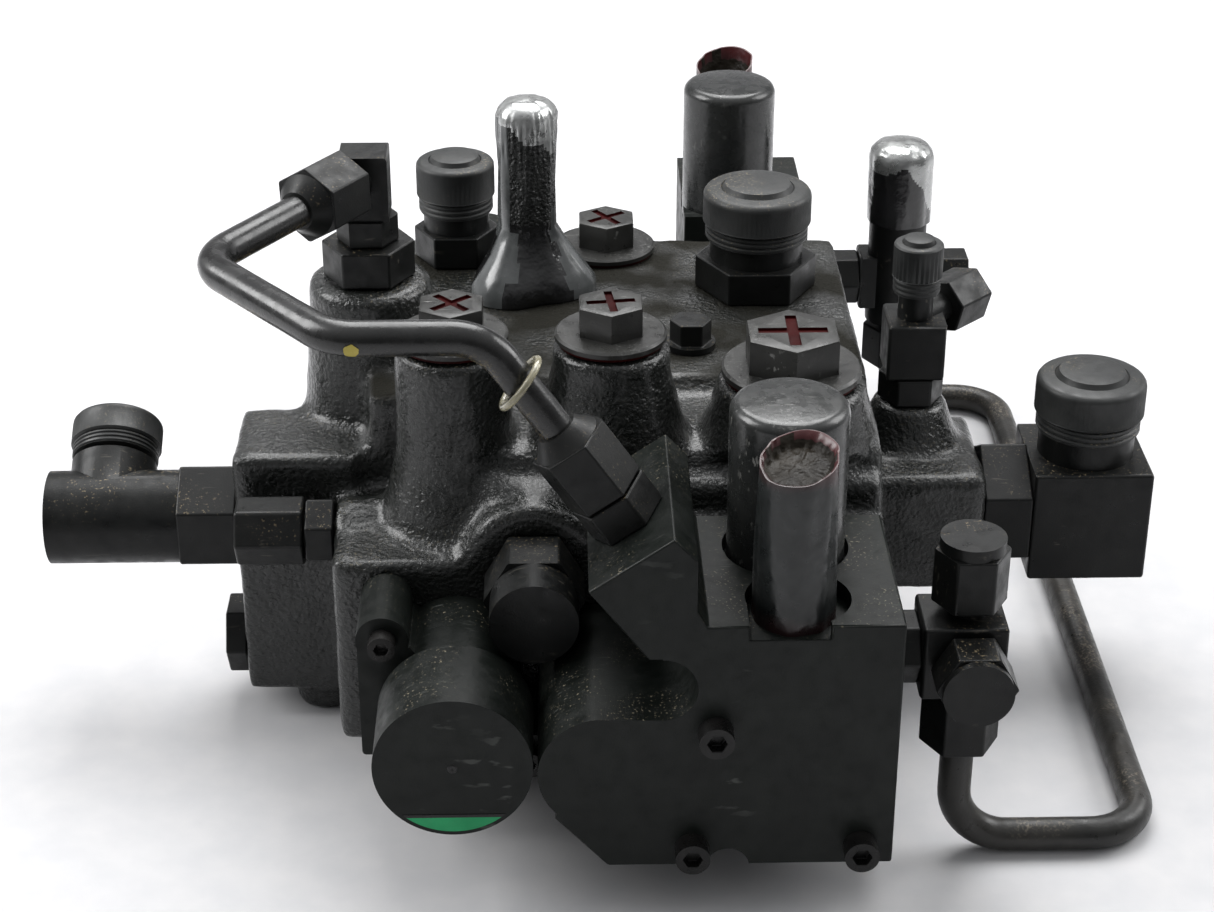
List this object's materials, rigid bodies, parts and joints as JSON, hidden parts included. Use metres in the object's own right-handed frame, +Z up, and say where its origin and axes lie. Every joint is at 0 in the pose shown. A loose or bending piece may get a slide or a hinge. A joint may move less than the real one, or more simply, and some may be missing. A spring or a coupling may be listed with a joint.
{
  "type": "hydraulic multiport valve block",
  "caption": "Cast hydraulic valve block with end cover blocks, hexagon plugs, capped ports and elbows, bent steel pilot tubes, sealed relief cartridges and sliding spools.",
  "frame": {"origin": "centre of the four mounting feet, on the floor plane under the housing", "axes": "+X to the right seen from the cover block with the canister nearest, +Y back along the spools, +Z up"},
  "size_m": [0.571, 0.59, 0.299],
  "materials": {
    "cast_paint": "satin",
    "machined_paint": "satin",
    "black_steel": "satin",
    "screw_steel": "satin",
    "cap_plastic": "satin",
    "shrink_sleeve": "gloss",
    "smoky_sleeve": "gloss",
    "clear_band": "gloss",
    "bare_steel": "brushed",
    "spring_steel": "satin"
  },
  "bodies": {
    "valve": {"housing": "cast_paint", "front_cover_block": "machined_paint", "rear_cover_block": "machined_paint", "front_spring_housing": "machined_paint", "rear_spring_housing": "machined_paint", "block_screws": "screw_steel", "spring_housing_screws": "screw_steel", "left_tower_plug": "black_steel", "middle_tower_plug": "black_steel", "right_tower_plug": "black_steel", "deck_plug": "black_steel", "small_gallery_plug": "black_steel", "hex_end_cap": "black_steel", "tower_adapter": "black_steel", "tower_elbow": "black_steel", "cover_adapter": "black_steel", "pilot_tube_nuts": "black_steel", "pilot_tube": "black_steel", "rear_left_adapter": "black_steel", "rear_right_adapter": "black_steel", "left_adapter": "black_steel", "left_elbow": "black_steel", "side_gallery_plug": "black_steel", "right_adapter": "black_steel", "right_elbow": "black_steel", "corner_adapter": "black_steel", "corner_elbow": "black_steel", "corner_side_nut": "black_steel", "test_nipple": "black_steel", "tee_adapter": "black_steel", "tee_body": "black_steel", "tee_cap_nuts": "black_steel", "return_tube_nuts": "black_steel", "return_tube": "black_steel", "relief_adapter": "black_steel", "relief_body": "black_steel", "relief_end_nut": "black_steel", "relief_sleeve": "shrink_sleeve", "center_relief": "black_steel", "center_relief_sleeve": "shrink_sleeve", "front_canister": "black_steel", "front_adjuster": "black_steel", "front_adjuster_sleeve": "smoky_sleeve", "rear_canister": "black_steel", "rear_adjuster": "black_steel", "rear_adjuster_sleeve": "smoky_sleeve", "left_spool_spring": "spring_steel", "right_spool_spring": "spring_steel"},
    "left_spool_part": {"left_spool": "bare_steel"},
    "right_spool_part": {"right_spool": "bare_steel"},
    "left_check_poppet_part": {"left_check_poppet": "bare_steel"},
    "middle_check_poppet_part": {"middle_check_poppet": "bare_steel"},
    "rear_left_port_cap_part": {"rear_left_port_cap": "cap_plastic"},
    "rear_right_port_cap_part": {"rear_right_port_cap": "cap_plastic"},
    "right_port_cap_part": {"right_port_cap": "cap_plastic"},
    "left_port_cap_part": {"left_port_cap": "cap_plastic"},
    "corner_port_cap_part": {"corner_port_cap": "cap_plastic"},
    "test_cap_nut_part": {"test_cap_nut": "black_steel"},
    "tube_band_part": {"tube_band": "clear_band"}
  },
  "joints": [
    {"name": "left_spool_slide", "type": "slide", "parent": "valve", "child": "left_spool_part", "axis": [0, 1, 0], "range_m": [-0.008, 0.008], "stiffness_N_per_m": 9000, "deforming": ["left_spool_spring"]},
    {"name": "right_spool_slide", "type": "slide", "parent": "valve", "child": "right_spool_part", "axis": [0, 1, 0], "range_m": [-0.008, 0.008], "stiffness_N_per_m": 9000, "deforming": ["right_spool_spring"]},
    {"name": "left_check_lift", "type": "slide", "parent": "valve", "child": "left_check_poppet_part", "axis": [0, 0, 1], "range_m": [0, 0.006]},
    {"name": "middle_check_lift", "type": "slide", "parent": "valve", "child": "middle_check_poppet_part", "axis": [0, 0, 1], "range_m": [0, 0.006]},
    {"name": "rear_left_cap_pull", "type": "slide", "parent": "valve", "child": "rear_left_port_cap_part", "axis": [0, 0, 1], "range_m": [0, 0.03]},
    {"name": "rear_right_cap_pull", "type": "slide", "parent": "valve", "child": "rear_right_port_cap_part", "axis": [0, 0, 1], "range_m": [0, 0.03]},
    {"name": "right_cap_pull", "type": "slide", "parent": "valve", "child": "right_port_cap_part", "axis": [0, 0, 1], "range_m": [0, 0.03]},
    {"name": "left_cap_pull", "type": "slide", "parent": "valve", "child": "left_port_cap_part", "axis": [0, 0.848, 0.5299], "range_m": [0, 0.03]},
    {"name": "corner_cap_pull", "type": "slide", "parent": "valve", "child": "corner_port_cap_part", "axis": [0, 0, 1], "range_m": [0, 0.03]},
    {"name": "test_cap_pull", "type": "slide", "parent": "valve", "child": "test_cap_nut_part", "axis": [-1, 0, 0], "range_m": [0, 0.02]},
    {"name": "band_slide", "type": "slide", "parent": "valve", "child": "tube_band_part", "axis": [0.5717, 0, -0.8205], "range_m": [0, 0.014]}
  ]
}
